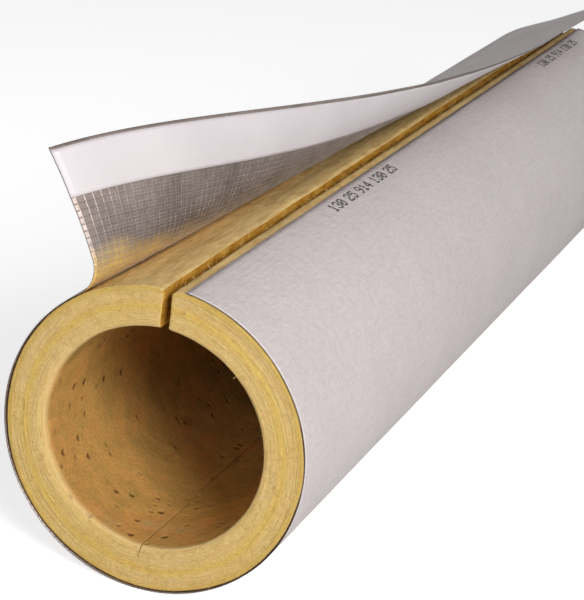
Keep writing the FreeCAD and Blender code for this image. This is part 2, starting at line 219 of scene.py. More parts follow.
def grid_faces(rows, columns, first=0, flip=False):
    """The quads of a grid whose vertices are numbered along its columns, then its rows."""
    index = first + np.arange(rows * columns).reshape(rows, columns)
    quads = np.stack([index[:-1, :-1], index[:-1, 1:], index[1:, 1:], index[1:, :-1]], axis=-1)
    quads = quads.reshape(-1, 4)
    return quads[:, ::-1] if flip else quads


def make_mesh(name, points, faces, materials, slots=None, uvs=None):
    """A smooth-shaded piece at the origin. slots gives each face its material."""
    mesh = bpy.data.meshes.new(name)
    mesh.from_pydata(np.asarray(points).tolist(), [], np.asarray(faces).tolist())
    for material in materials:
        mesh.materials.append(material)
    if slots is not None:
        mesh.polygons.foreach_set("material_index", np.asarray(slots, dtype=np.int32))
    if uvs is not None:
        layer = mesh.uv_layers.new(name="surface")
        corners = np.empty(len(mesh.loops), dtype=np.int32)
        mesh.loops.foreach_get("vertex_index", corners)
        layer.data.foreach_set("uv", np.asarray(uvs)[corners].ravel())
    mesh.polygons.foreach_set("use_smooth", np.ones(len(mesh.polygons), dtype=bool))
    mesh.update()
    piece = bpy.data.objects.new(name, mesh)
    bpy.context.scene.collection.objects.link(piece)
    return piece


def weld(piece, distance):
    """Join the sheets of a piece where their edges meet, with every face turned outward."""
    shell = bmesh.new()
    shell.from_mesh(piece.data)
    bmesh.ops.remove_doubles(shell, verts=shell.verts, dist=distance)
    bmesh.ops.recalc_face_normals(shell, faces=shell.faces)
    shell.to_mesh(piece.data)
    shell.free()


def seat(piece, slot, *nodes):
    """Every piece rides on the one body and may stand for a CAD node. The slot is not used."""
    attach(piece, ROOT_BODY)
    if nodes:
        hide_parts(*nodes)


# --- shared material making ---------------------------------------------------------------------

class Finish:
    """A material under construction: short calls that add nodes and join them."""

    def __init__(self, name, base, roughness, metallic=0.0, specular=0.3):
        self.material = bpy.data.materials.new(name)
        self.material.use_nodes = True
        self.tree = self.material.node_tree
        self.shader = self.tree.nodes["Principled BSDF"]
        self.shader.inputs["Base Color"].default_value = (*base, 1)
        self.shader.inputs["Roughness"].default_value = roughness
        self.shader.inputs["Metallic"].default_value = metallic
        self.shader.inputs["Specular IOR Level"].default_value = specular
        self.coordinates = self.tree.nodes.new("ShaderNodeTexCoord")

    def node(self, kind, **values):
        """A node with its sockets set or joined: a value that is a socket is joined."""
        node = self.tree.nodes.new("ShaderNode" + kind)
        for name, value in values.items():
            if hasattr(node, name):
                setattr(node, name, value)
                continue
            socket = node.inputs[int(name[1:]) if name[0] == "_" else name.replace("_", " ")]
            if isinstance(value, bpy.types.NodeSocket):
                self.tree.links.new(value, socket)
            else:
                socket.default_value = value
        return node

    def place(self, scale, source="Object"):
        return self.node("Mapping", Vector=self.coordinates.outputs[source], Scale=scale).outputs[0]

    def noise(self, scale, detail=4, rough=0.55, stretch=(1, 1, 1), source="Object"):
        at = self.place([scale * value for value in stretch], source)
        return self.node("TexNoise", Vector=at, Scale=1.0, Detail=detail, Roughness=rough).outputs[0]

    def ramp(self, value, *stops):
        """A colour ramp. Each stop is a position and a colour."""
        node = self.node("ValToRGB", Fac=value)
        elements = node.color_ramp.elements
        while len(elements) < len(stops):
            elements.new(0.5)
        for element, (position, shade) in zip(elements, stops):
            element.position = position
            element.color = (*shade, 1)
        return node.outputs[0]

    def level(self, value, low, high, to_low=0.0, to_high=1.0):
        node = self.node("MapRange", Value=value, From_Min=low, From_Max=high,
                         To_Min=to_low, To_Max=to_high)
        return node.outputs[0]

    def maths(self, operation, first, second=0.0):
        return self.node("Math", operation=operation, _0=first, _1=second).outputs[0]

    def mix(self, factor, first, second, blend="MIX"):
        node = self.tree.nodes.new("ShaderNodeMix")
        node.data_type = "RGBA"
        node.blend_type = blend
        for index, value in ((0, factor), (6, first), (7, second)):
            if isinstance(value, bpy.types.NodeSocket):
                self.tree.links.new(value, node.inputs[index])
            else:
                node.inputs[index].default_value = value if index == 0 else (*value, 1)
        return node.outputs[2]

    def stain(self, value, low, high, amount, base, colour):
        """Colour the base where a value is low: by the amount at low, and not at all past high."""
        return self.mix(self.level(value, low, high, amount, 0.0), base, colour)

    def from_axis(self, centre):
        """Distance from the tube's axis, in metres."""
        at = self.node("Mapping", Vector=self.coordinates.outputs["Object"],
                       Location=(-centre[0], 0, -centre[1]), Scale=(1, 0, 1)).outputs[0]
        return self.node("VectorMath", operation="LENGTH", _0=at).outputs["Value"]

    def finish(self, colour=None, roughness=None, bumps=()):
        """Join the results. Each bump is a height, a strength and a distance in metres."""
        if colour is not None:
            self.tree.links.new(colour, self.shader.inputs["Base Color"])
        if roughness is not None:
            self.tree.links.new(roughness, self.shader.inputs["Roughness"])
        normal = None
        for height, strength, distance in bumps:
            bump = self.node("Bump", Height=height, Strength=strength, Distance=distance)
            if normal is not None:
                self.tree.links.new(normal, bump.inputs["Normal"])
            normal = bump.outputs[0]
        if normal is not None:
            self.tree.links.new(normal, self.shader.inputs["Normal"])
        return self.material


def shade(base, factor):
    return tuple(min(1.0, value * factor) for value in base)


# --- the moulded wool ---------------------------------------------------------------------------

def cut_wool(wool):
    """Sawn wool: concentric layers of fibre, pale near the bore, with denser yellow bands."""
    make = Finish("sawn_glass_wool", wool.cut, 0.95, specular=0.12)
    radius = make.from_axis(TUBE_CENTRE)
    cloud = make.noise(26, 3)
    wander = make.maths("MULTIPLY", make.maths("SUBTRACT", cloud, 0.5), 0.006)
    depth = make.level(make.maths("ADD", radius, wander), BORE_RADIUS, TUBE_RADIUS)
    layers = make.ramp(
        depth,
        (0.0, shade(wool.cut, 0.97)), (0.16, shade(wool.cut, 1.05)), (0.34, wool.cut),
        (0.52, wool.band), (0.66, wool.cut), (0.80, shade(wool.cut, 0.96)),
        (0.93, shade(wool.band, 0.86)), (1.0, shade(wool.band, 0.66)))
    streak = make.node("TexNoise", noise_dimensions="4D", Scale=1.0, Detail=5.0, Roughness=0.6,
                       Vector=make.place((30, 30, 30)), W=make.maths("MULTIPLY", radius, 700))
    streaks = make.level(streak.outputs[0], 0.3, 0.7)
    fine = make.noise(900, 4, 0.7)
    patches = make.noise(14, 4, 0.6)
    speckle = make.noise(230, 4, 0.65)
    tinted = make.mix(make.level(patches, 0.42, 0.66, 0.0, 0.45), layers, wool.band)
    lined = make.mix(make.level(streaks, 0, 1, 0.0, 0.42), tinted, shade(wool.bore, 0.95))
    spotted = make.stain(speckle, 0.34, 0.5, 0.4, lined, shade(wool.bore, 0.9))
    grained = make.stain(fine, 0.35, 0.62, 0.4, spotted, shade(wool.bore, 0.75))
    return make.finish(grained, bumps=((streaks, 0.6, 0.0012), (speckle, 0.5, 0.0012),
                                       (fine, 0.7, 0.0006)))


def outside_wool(wool):
    """The wool's moulded outside, where it is bare: soft fibres that run along the tube."""
    make = Finish("moulded_glass_wool", wool.skin, 0.9, specular=0.15)
    cloud = make.noise(22, 4, 0.6, (1, 0.18, 1))
    fibres = make.noise(420, 5, 0.7, (1, 0.12, 1))
    grain = make.noise(1100, 3, 0.6)
    tufts = make.noise(120, 4, 0.65, (1, 0.45, 1))
    base = make.ramp(cloud, (0.30, shade(wool.skin, 0.72)), (0.5, wool.skin),
                     (0.68, shade(wool.cut, 1.0)))
    spotted = make.stain(tufts, 0.36, 0.52, 0.42, base, shade(wool.bore, 0.72))
    lined = make.stain(fibres, 0.36, 0.6, 0.45, spotted, shade(wool.bore, 0.6))
    return make.finish(lined, bumps=((tufts, 0.5, 0.0016), (fibres, 0.6, 0.0009),
                                     (grain, 0.4, 0.0004)))


def bore_wool(wool):
    """The cured bore: smoother and browner, with small pits where the binder has gathered."""
    make = Finish("cured_bore_wool", wool.bore, 0.75, specular=0.2)
    cloud = make.noise(20, 4, 0.6)
    blotch = make.noise(70, 3, 0.6)
    grain = make.noise(700, 4, 0.7)
    warm = srgb(218, 158, 88)
    base = make.ramp(cloud, (0.32, shade(wool.bore, 0.74)), (0.48, wool.bore), (0.64, warm),
                     (0.78, shade(wool.cut, 0.72)))
    mottled = make.mix(make.level(blotch, 0.4, 0.66, 0.0, 0.5), base, shade(wool.band, 0.5))
    cells = make.node("TexVoronoi", feature="F1", Scale=1.0, Randomness=0.85,
                      Vector=make.place((100, 84, 100))).outputs["Distance"]
    pit = make.level(cells, 0.06, 0.22, 1.0, 0.0)
    where = make.level(make.noise(11, 2), 0.36, 0.52)
    pitted = make.maths("MULTIPLY", pit, where)
    dark = make.mix(make.maths("MULTIPLY", pitted, 0.5), mottled, srgb(92, 58, 26))
    grained = make.stain(grain, 0.36, 0.6, 0.34, dark, srgb(104, 72, 34))
    hollow = make.maths("MULTIPLY", pitted, -1.0)
    split = make.node("SeparateXYZ", Vector=make.coordinates.outputs["Object"])
    off_middle = make.maths("ABSOLUTE", make.maths("SUBTRACT", split.outputs[1], TUBE_LENGTH / 2))
    rim = make.level(off_middle, TUBE_LENGTH / 2 - 0.007, TUBE_LENGTH / 2 - 0.001, 0.0, 0.85)
    grained = make.mix(rim, grained, wool.cut)
    return make.finish(grained, bumps=((blotch, 0.5, 0.0022), (hollow, 1.0, 0.0016),
                                       (grain, 0.6, 0.0005)))


def slit_wool(wool):
    """The walls of the slit: wool streaked along the tube, painted dark orange-brown as the shade
    inside the narrow slit.
    """
    make = Finish("slit_wall_wool_painted_shade", wool.bore, 0.95, specular=0.1)
    streak = make.noise(260, 4, 0.6, (1, 0.25, 1))
    # Painted shade: the dark orange-brown ramp stands for the shade inside the slit.
    base = make.ramp(streak, (0.3, srgb(140, 92, 22)), (0.55, srgb(178, 128, 44)),
                     (0.75, srgb(206, 162, 78)))
    return make.finish(base, bumps=((streak, 0.5, 0.0008),))


def round_pair(first, second, radius):
    """Round the edge where two faces meet, given the distances of points from each face."""
    near = (first < radius) & (second < radius)
    across = np.where(near, 1 - first / radius, 0)
    down = np.where(near, 1 - second / radius, 0)
    return (np.where(near, radius * (1 - across * np.sqrt(1 - down**2 / 2)), first),
            np.where(near, radius * (1 - down * np.sqrt(1 - across**2 / 2)), second))


# A few blisters stand on the bore: how far round they are, as a fraction, and how far along.
BLISTERS = ((0.585, 0.118), (0.60, 0.150), (0.545, 0.215), (0.47, 0.30))
BLISTER_HEIGHT = 1.5 * MM
BLISTER_WIDTH = 3.4 * MM


class WoolShape:
    """The moulded C: a block bent round the bore, whose faces are grids of points."""

    def __init__(self, wool):
        self.wool = wool
        half = wool.slit / 2
        shift_x = TUBE_CENTRE[0]
        self.outer = (math.pi / 2 - math.asin((half - shift_x) / TUBE_RADIUS),
                      math.pi / 2 + math.asin((half + shift_x) / TUBE_RADIUS) - FULL_TURN)
        self.inner = (math.pi / 2 - math.asin(half / BORE_RADIUS),
                      math.pi / 2 + math.asin(half / BORE_RADIUS) - FULL_TURN)
        self.hinge = (self.inner[0] + math.pi / 2) / (self.inner[0] - self.inner[1])

    def circles(self, around):
        """The bore's and the outside's points at a fraction of the way round."""
        inner_angle = self.inner[0] + (self.inner[1] - self.inner[0]) * around
        outer_angle = self.outer[0] + (self.outer[1] - self.outer[0]) * around
        inner = np.stack([np.cos(inner_angle), np.sin(inner_angle)], -1) * BORE_RADIUS
        outer = np.stack([np.cos(outer_angle), np.sin(outer_angle)], -1) * TUBE_RADIUS
        return inner, outer + np.array(TUBE_CENTRE)

    def place(self, around, through, along):
        """Round the block's edges, bend it round the bore and give it its moulded relief."""
        wool = self.wool
        around, through, along = (np.asarray(v, dtype=float).ravel() for v in (around, through, along))
        inner, outer = self.circles(around)
        wall = np.hypot(*(outer - inner).T)
        turn = self.inner[0] - self.inner[1]
        girth = turn * (BORE_RADIUS + (TUBE_RADIUS - BORE_RADIUS) * through)
        right, left = around * girth, (1 - around) * girth
        bore, skin = through * wall, (1 - through) * wall
        inner_rim = wool.inner_rim * (1 + wool.rim_swell * np.clip(-inner[:, 0] / BORE_RADIUS, 0, 1))
        near, far = along.copy(), TUBE_LENGTH - along

        right, skin = round_pair(right, skin, wool.lip_round)
        left, skin = round_pair(left, skin, wool.lip_round)
        right, bore = round_pair(right, bore, wool.outer_rim)
        left, bore = round_pair(left, bore, wool.outer_rim)
        for end in (near, far):
            skin, end[:] = round_pair(skin, end, wool.outer_rim)
            bore, end[:] = round_pair(bore, end, inner_rim)
            right, end[:] = round_pair(right, end, wool.outer_rim * 1.6)
            left, end[:] = round_pair(left, end, wool.outer_rim * 1.6)

        around = np.where(around < 0.5, right / girth, 1 - left / girth)
        through = np.where(through < 0.5, bore / wall, 1 - skin / wall)
        along = np.where(along < TUBE_LENGTH / 2, near, TUBE_LENGTH - far)
        inner, outer = self.circles(around)
        return self.relief(around, through, along, inner, outer)

    def relief(self, around, through, along, inner, outer):
        """Lumps of the mould, the knife cut, the ragged slit and the sagging lips."""
        wool = self.wool
        outward = (outer - inner) / np.hypot(*(outer - inner).T)[:, None]
        flat = inner + (outer - inner) * through[:, None]
        solid = np.stack([flat[:, 0], along, flat[:, 1]], -1)

        lumps = smooth_noise(solid, (0.022, 0.05, 0.022), 1)
        ripples = smooth_noise(solid, (0.007, 0.012, 0.007), 2)
        on_skin = np.clip(through * 4 - 3, 0, 1)
        on_bore = np.clip(1 - through * 4, 0, 1)
        slide = -on_skin * (0.35 * (1 + lumps) + 0.12 * (1 + ripples)) * MM
        slide += on_bore * (0.45 * lumps + 0.22 * ripples) * MM

        # A shallow trough runs along the bare wool left of the slit, and its lips sag a little.
        from_slit = np.where(around > 0.5, (1 - around), around) * FULL_TURN * TUBE_RADIUS
        trough = np.exp(-((from_slit - 0.022) / 0.008) ** 2) * (around > 0.5)
        slide -= on_skin * trough * (1.1 + 0.4 * lumps) * MM
        sag = np.exp(-from_slit / 0.010) * np.exp(-along / 0.030)
        slide -= on_skin * sag * 1.2 * MM

        for spot, place in BLISTERS:
            gap = np.hypot((around - spot) * FULL_TURN * BORE_RADIUS, along - place)
            slide -= on_bore * BLISTER_HEIGHT * np.exp(-(gap / BLISTER_WIDTH) ** 2)

        # The knife cut opens the bore's wall at the hinge.
        off_hinge = np.abs(around - self.hinge) * FULL_TURN * BORE_RADIUS
        notch = np.clip(1 - off_hinge / (wool.hinge_width / 2), 0, 1)
        slide += notch * (1 - through) * wool.hinge_depth

        flat = flat + outward * slide[:, None]
        # Torn fibres make the slit's right wall ragged.
        ragged = smooth_noise(solid, (0.002, 0.0024, 0.0024), 5)
        soft = smooth_noise(solid, (0.01, 0.03, 0.01), 6)
        wall_gap = np.minimum(around, 1 - around) * FULL_TURN * TUBE_RADIUS
        at_wall = np.exp(-(wall_gap / 0.0015) ** 2)
        flat[:, 0] += np.where(around < 0.5, at_wall * (0.30 * ragged + 0.3 * soft),
                               -at_wall * (0.10 * ragged + 0.3 * soft)) * MM

        # The saw leaves shallow rings and tufts on the ends.
        from_end = np.minimum(along, TUBE_LENGTH - along)
        on_end = np.clip(1 - from_end / 0.003, 0, 1)
        radius = np.hypot(flat[:, 0] - TUBE_CENTRE[0], flat[:, 1] - TUBE_CENTRE[1])
        bearing = np.arctan2(flat[:, 1], flat[:, 0])
        rings = smooth_noise(np.stack([radius, bearing * 0.02, along * 0], -1),
                             (0.0021, 0.012, 1.0), 8)
        tufts = smooth_noise(solid, (0.005, 1.0, 0.005), 9)
        inset = on_end * (0.32 * (1 + rings) + 0.25 * (1 + tufts)) * MM
        along = np.where(along < TUBE_LENGTH / 2, along + inset, along - inset)
        return np.stack([flat[:, 0], along, flat[:, 1]], -1)


# Where the mesh's rows lie: their distances from a rounded edge and from the far end in
# millimetres, and the near stretch in which they are packed more closely.
EDGE_STEPS = (0, 0.15, 0.38, 0.7, 1.1, 1.7, 2.5, 3.6, 5.0)
FAR_STEPS = (6.0, 3.6, 2.5, 1.3, 0.7, 0.3, 0)
NEAR_STRETCH = 0.15
NEAR_ROWS = 52
WALL_ROWS = 7


def wall_steps(size, middle):
    """Fractions across a width, packed closely where its edges are rounded."""
    edge = np.array(EDGE_STEPS) * MM / size
    return np.unique(np.concatenate([edge, np.linspace(edge[-1], 1 - edge[-1], middle), 1 - edge]))


def build_wool(wool):
    shape = WoolShape(wool)
    around = wall_steps(FULL_TURN * TUBE_RADIUS, wool.columns)
    half_cut = wool.hinge_width / 2 / (FULL_TURN * BORE_RADIUS)
    around = around[np.abs(around - shape.hinge) > half_cut * 1.5]
    around = np.sort(np.append(around, shape.hinge + half_cut * np.array([-1, 0, 1])))
    through = wall_steps(TUBE_RADIUS - BORE_RADIUS, WALL_ROWS)
    near = wall_steps(NEAR_STRETCH, NEAR_ROWS)[:-len(EDGE_STEPS)] * NEAR_STRETCH
    far = TUBE_LENGTH - np.array(FAR_STEPS) * MM
    middle = np.linspace(NEAR_STRETCH, far[0], wool.rows - NEAR_ROWS - len(EDGE_STEPS) + 1)
    along = np.concatenate([near, middle, far[1:]])

    sheets = (
        # around, through, along, flipped, material
        (around, [1.0], along, False, 1),
        (around, [0.0], along, True, 2),
        ([0.0], through, along, False, 3),
        ([1.0], through, along, True, 3),
        (around, through, [0.0], True, 0),
        (around, through, [TUBE_LENGTH], False, 0),
    )
    points, faces, slots, uvs = [], [], [], []
    first = 0
    for around_steps, through_steps, along_steps, flip, slot in sheets:
        grid = np.stack(np.meshgrid(along_steps, through_steps, around_steps, indexing="ij"), -1)
        rows, columns = [n for n in grid.shape[:3] if n > 1]
        flat = grid.reshape(-1, 3)
        points.append(shape.place(flat[:, 2], flat[:, 1], flat[:, 0]))
        quads = grid_faces(rows, columns, first, flip)
        faces.append(quads)
        slots.append(np.full(len(quads), slot))
        uvs.append(np.stack([flat[:, 2], flat[:, 0]], -1))
        first += len(flat)
    materials = [cut_wool(wool), outside_wool(wool), bore_wool(wool), slit_wool(wool)]
    piece = make_mesh("wool_section", np.concatenate(points), np.concatenate(faces), materials,
                      np.concatenate(slots), np.concatenate(uvs))
    weld(piece, 0.02 * MM)
    seat(piece, "glass_wool", "insulation")


# --- the jacket and its flap --------------------------------------------------------------------

class JacketShape:
    """The laminate's inner face: glued round the wool, then free as the flap."""

    def __init__(self, jacket):
        self.jacket = jacket
        self.skin = TUBE_RADIUS + jacket.glue
        self.start = math.pi / 2 - jacket.bare_right / self.skin
        self.wrap = (FULL_TURN * self.skin - jacket.bare_right - jacket.bare_left
                     - jacket.bare_extra)

    def turn(self, along, across):
        """How far the flap has turned, in radians, at a width across it from its root."""
        jacket = self.jacket
        fade = np.exp(-(along / jacket.open_reach) ** jacket.open_power)
        spread = np.exp(-(along / jacket.spread_reach) ** jacket.spread_power)
        opened = np.radians(jacket.open_far + (jacket.open_near - jacket.open_far) * fade)
        bend = jacket.bend_far + (jacket.bend_near - jacket.bend_far) * spread
        share = jacket.share_far + (jacket.share_near - jacket.share_far) * spread
        turned = opened * ((1 - share) * np.clip(across / bend, 0, 1)
                           + share * np.clip((across - bend) / (jacket.flap - bend), 0, 1))
        return turned

    def bare(self, along):
        jacket = self.jacket
        return jacket.bare_left + jacket.bare_extra * np.exp(-along / jacket.extra_reach)

    def flap_section(self, along, across):
        """The flap's inner face in one plane across the tube, and its outward normals."""
        root = math.pi / 2 + self.bare(along) / self.skin
        steps = np.linspace(0, self.jacket.flap, 181)
        heading = root - math.pi / 2 + self.turn(along, steps)
        middle = (heading[1:] + heading[:-1]) / 2
        run = np.diff(steps)
        x = np.concatenate([[0], np.cumsum(np.cos(middle) * run)])
        z = np.concatenate([[0], np.cumsum(np.sin(middle) * run)])
        x += TUBE_CENTRE[0] + self.skin * math.cos(root)
        z += TUBE_CENTRE[1] + self.skin * math.sin(root)
        angle = np.interp(across, steps, heading) + math.pi / 2
        flat = np.stack([np.interp(across, steps, x), np.interp(across, steps, z)], -1)
        return flat, np.stack([np.cos(angle), np.sin(angle)], -1)

    def section(self, along, wrap_steps, flap_steps):
        """The whole inner face in one plane. The wrap's steps run from 0 to 1."""
        end = math.pi / 2 + self.bare(along) / self.skin - FULL_TURN
        angle = self.start + (end - self.start) * wrap_steps
        normal = np.stack([np.cos(angle), np.sin(angle)], -1)
        wrapped = normal * self.skin + np.array(TUBE_CENTRE)
        flap, flap_normal = self.flap_section(along, flap_steps)
        return np.concatenate([wrapped, flap]), np.concatenate([normal, flap_normal])

    def surface(self, alongs, wrap_steps, flap_steps, lift=0.0):
        """Rows of points on the inner face, moved outwards by lift, with the sheet's waviness."""
        rows = []
        across = np.concatenate([wrap_steps * self.wrap, self.wrap + flap_steps])
        for along in alongs:
            flat, normal = self.section(along, wrap_steps, flap_steps)
            sheet = np.stack([across, np.full(len(across), along), across * 0], -1)
            free = np.clip((across - self.wrap - 0.004) / 0.03, 0, 1)
            broad = smooth_noise(sheet, (0.035, 0.09, 1.0), 21)
            creased = smooth_noise(sheet, (0.012, 0.018, 1.0), 22)
            puffed = 0.10 * (1 + broad) + 0.05 * (1 + creased)
            loose = 0.55 * broad + 0.12 * creased
            height = ((1 - free) * puffed + free * loose) * MM
            flat = flat + normal * (height + lift)[:, None]
            rows.append(np.stack([flat[:, 0], np.full(len(flat), along), flat[:, 1]], -1))
        return np.array(rows)


def jacket_paper(jacket):
    """White kraft paper over the scrim: a fine embossed mesh and small random creases."""
    make = Finish("jacket_paper", jacket.paper, 0.55, specular=0.35)
    creases = make.noise(330, 5, 0.65, (1, 0.55, 1))
    broad = make.noise(46, 4, 0.6)
    soil = make.noise(9, 4, 0.6)
    threads = scrim_height(make, settings("scrim"))
    tone = make.ramp(soil, (0.3, shade(jacket.paper, 0.93)), (0.6, jacket.paper))
    # Painted shade: the paper is darkened in the hollows of the creases.
    mottled = make.stain(creases, 0.36, 0.6, 0.3, tone, shade(jacket.paper, 0.7))
    rough = make.level(broad, 0.3, 0.7, 0.42, 0.6)
    return make.finish(mottled, rough, ((creases, 0.7, 0.0010), (broad, 0.35, 0.003),
                                        (threads, 0.35, 0.0004)))


def scrim_height(make, scrim):
    """Ridges where the yarns press through, from the sheet's own map, in metres."""
    split = make.node("SeparateXYZ", Vector=make.coordinates.outputs["UV"])
    ridges = []
    for axis, pitch in enumerate((scrim.across, scrim.along)):
        phase = make.maths("FRACT", make.maths("DIVIDE", split.outputs[axis], pitch))
        off = make.maths("ABSOLUTE", make.maths("SUBTRACT", phase, 0.5))
        ridges.append(make.level(off, 0.0, 0.12, 1.0, 0.0))
    return make.maths("MAXIMUM", *ridges)


def jacket_foil(jacket):
    """Foil on the inner face, dulled by adhesive and embossed by the yarns under it."""
    make = Finish("jacket_foil", jacket.foil, 0.3, metallic=0.9, specular=0.4)
    cloud = make.noise(40, 4, 0.6)
    brushed = make.noise(500, 4, 0.6, (1, 0.3, 1))
    threads = scrim_height(make, settings("scrim"))
    tone = make.ramp(cloud, (0.32, shade(jacket.foil, 0.8)), (0.62, shade(jacket.foil, 1.12)))
    netted = make.mix(make.maths("MULTIPLY", threads, 0.12), tone, jacket.yarn)
    # A painted reflection of the yellow wool lies on the foil beside the root of the flap and narrows
    # along the tube; the foil is less metallic there.
    map_place = make.node("SeparateXYZ", Vector=make.coordinates.outputs["UV"])
    off_root = make.maths("SUBTRACT", map_place.outputs[0], JacketShape(jacket).wrap)
    reach = make.level(map_place.outputs[1], 0.0, 0.4, 0.030, 0.014)
    near_root = make.maths("DIVIDE", off_root, reach)
    reflection = make.level(make.maths("ADD", near_root, make.level(cloud, 0.3, 0.7, -0.15, 0.15)),
                      0.55, 1.05, 0.95, 0.0)
    reflection = make.maths("MULTIPLY", reflection, make.level(off_root, -0.006, 0.0))
    lined = make.mix(reflection, netted, jacket.reflection)
    make.tree.links.new(make.level(reflection, 0.0, 1.0, 0.9, 0.1), make.shader.inputs["Metallic"])
    rough = make.level(brushed, 0.3, 0.7, 0.36, 0.52)
    return make.finish(lined, rough, ((threads, 0.6, 0.0003), (brushed, 0.2, 0.0003),
                                      (cloud, 0.3, 0.002)))


def jacket_edge(jacket):
    """The laminate's cut edge, with its brown paper core, darkened also as a painted contact shadow
    along it.
    """
    make = Finish("jacket_cut_edge_and_shadow", jacket.edge, 0.8, specular=0.2)
    grain = make.noise(600, 3)
    tone = make.ramp(grain, (0.3, shade(jacket.edge, 0.6)), (0.7, shade(jacket.edge, 1.1)))
    return make.finish(tone, bumps=((grain, 0.3, 0.0002),))


def flat_map(across, alongs):
    """A sheet's own map: metres across it, and metres along it."""
    return np.stack(np.broadcast_arrays(across[None, :], alongs[:, None]), -1).reshape(-1, 2)


def sheet_piece(name, inner, outer, uvs, materials):
    """A thin closed sheet from two grids of points: its two faces and the strip round its edge."""
    rows, columns = inner.shape[:2]
    count_inner = rows * columns
    low = np.arange(count_inner).reshape(rows, columns)
    high = low + count_inner
    faces = [grid_faces(rows, columns, 0, True), grid_faces(rows, columns, count_inner)]
    for side in (np.s_[0, :], np.s_[::-1, 0], np.s_[-1, ::-1], np.s_[:, -1]):
        under, over = low[side], high[side]
        faces.append(np.stack([under[:-1], under[1:], over[1:], over[:-1]], -1))
    slots = np.repeat([1, 0, 2, 2, 2, 2], [len(part) for part in faces])
    points = np.concatenate([inner.reshape(-1, 3), outer.reshape(-1, 3)])
    return make_mesh(name, points, np.concatenate(faces), materials, slots,
                     np.concatenate([uvs, uvs]))


def build_jacket(jacket):
    shape = JacketShape(jacket)
    wrap_steps = np.linspace(0, 1, 118)[:-1]
    flap_steps = np.concatenate([np.linspace(0, jacket.bend_near * 1.3, 20)[:-1],
                                 np.linspace(jacket.bend_near * 1.3, jacket.flap, 22)])
    alongs = np.concatenate([np.linspace(0, 0.3, jacket.rows // 2)[:-1],
                             np.linspace(0.3, TUBE_LENGTH, jacket.rows // 2)])
    inner = shape.surface(alongs, wrap_steps, flap_steps)
    outer = shape.surface(alongs, wrap_steps, flap_steps, jacket.thickness)
    across = np.concatenate([wrap_steps * shape.wrap, shape.wrap + flap_steps])
    uvs = flat_map(across, alongs)
    piece = sheet_piece("jacket_sheet", inner, outer, uvs,
                        [jacket_paper(jacket), jacket_foil(jacket), jacket_edge(jacket)])
    seat(piece, "jacket", "jacket")


# --- the release liner --------------------------------------------------------------------------

def liner_paper(liner):
    """Coated release paper: smooth, with a soft sheen and faint waves."""
    make = Finish("release_liner_paper", liner.paper, 0.38, specular=0.45)
    waves = make.noise(30, 3, 0.5)
    fine = make.noise(240, 3, 0.5)
    tone = make.ramp(waves, (0.3, shade(liner.paper, 0.94)), (0.65, liner.paper))
    return make.finish(tone, make.level(fine, 0.3, 0.7, 0.34, 0.48),
                       ((waves, 0.2, 0.003), (fine, 0.12, 0.0004)))


def build_liner(liner, jacket):
    shape = JacketShape(jacket)
    high = jacket.flap - liner.margin
    steps = np.linspace(high - liner.width, high, 14)
    alongs = np.linspace(0, TUBE_LENGTH, 230)
    no_wrap = np.zeros(0)
    back = shape.surface(alongs, no_wrap, steps, -liner.gap)
    front = shape.surface(alongs, no_wrap, steps, -liner.gap - liner.thickness)
    uvs = flat_map(steps, alongs)
    paper = liner_paper(liner)
    piece = sheet_piece("release_strip", front, back, uvs, [paper, paper, paper])
    seat(piece, "release_liner", "release_liner")


# --- geometry nodes -----------------------------------------------------------------------------

def node_group(name, *sockets):
    """A geometry tree with a geometry input, the named inputs and a geometry output."""
    tree = bpy.data.node_groups.new(name, "GeometryNodeTree")
    tree.interface.new_socket("Geometry", in_out="INPUT", socket_type="NodeSocketGeometry")
    for title, kind in sockets:
        tree.interface.new_socket(title, in_out="INPUT", socket_type="NodeSocket" + kind)
    tree.interface.new_socket("Geometry", in_out="OUTPUT", socket_type="NodeSocketGeometry")
    return tree, tree.nodes.new("NodeGroupInput"), tree.nodes.new("NodeGroupOutput")


def add_node(tree, kind, **values):
    """A geometry node with its sockets set or joined: a value that is a socket is joined."""
    node = tree.nodes.new(kind)
    for name, value in values.items():
        if hasattr(node, name):
            setattr(node, name, value)
            continue
        socket = node.inputs[name.replace("_", " ")]
        if isinstance(value, bpy.types.NodeSocket):
            tree.links.new(value, socket)
        else:
            socket.default_value = value
    return node


def close_tree(tree, entry, leave, made):
    """End a tree: what it made becomes real geometry with the finish given to the tree."""
    real = add_node(tree, "GeometryNodeRealizeInstances", Geometry=made.outputs[0])
    done = add_node(tree, "GeometryNodeSetMaterial", Geometry=real.outputs[0],
                    Material=entry.outputs["Finish"])
    tree.links.new(done.outputs[0], leave.inputs[0])
    return tree


def bare_mesh(name, points, edges=()):
    """Points, or a net of edges, for a tree to grow on."""
    mesh = bpy.data.meshes.new(name)
    mesh.from_pydata(np.asarray(points).tolist(), np.asarray(edges).tolist(), [])
    base = bpy.data.objects.new(name, mesh)
    bpy.context.scene.collection.objects.link(base)
    return base


def grow(name, base, tree, inputs, material):
    """Run a tree on a base mesh and return the result as a plain piece."""
    modifier = base.modifiers.new("grow", "NODES")
    modifier.node_group = tree
    for item in tree.interface.items_tree:
        if item.in_out == "INPUT" and item.name in inputs:
            modifier[item.identifier] = inputs[item.name]
    graph = bpy.context.evaluated_depsgraph_get()
    mesh = bpy.data.meshes.new_from_object(base.evaluated_get(graph))
    base.modifiers.remove(modifier)
    old = base.data
    bpy.data.objects.remove(base)
    bpy.data.meshes.remove(old)
    mesh.name = name
    mesh.materials.clear()
    mesh.materials.append(material)
    mesh.polygons.foreach_set("material_index", np.zeros(len(mesh.polygons), dtype=np.int32))
    piece = bpy.data.objects.new(name, mesh)
    bpy.context.scene.collection.objects.link(piece)
    return piece


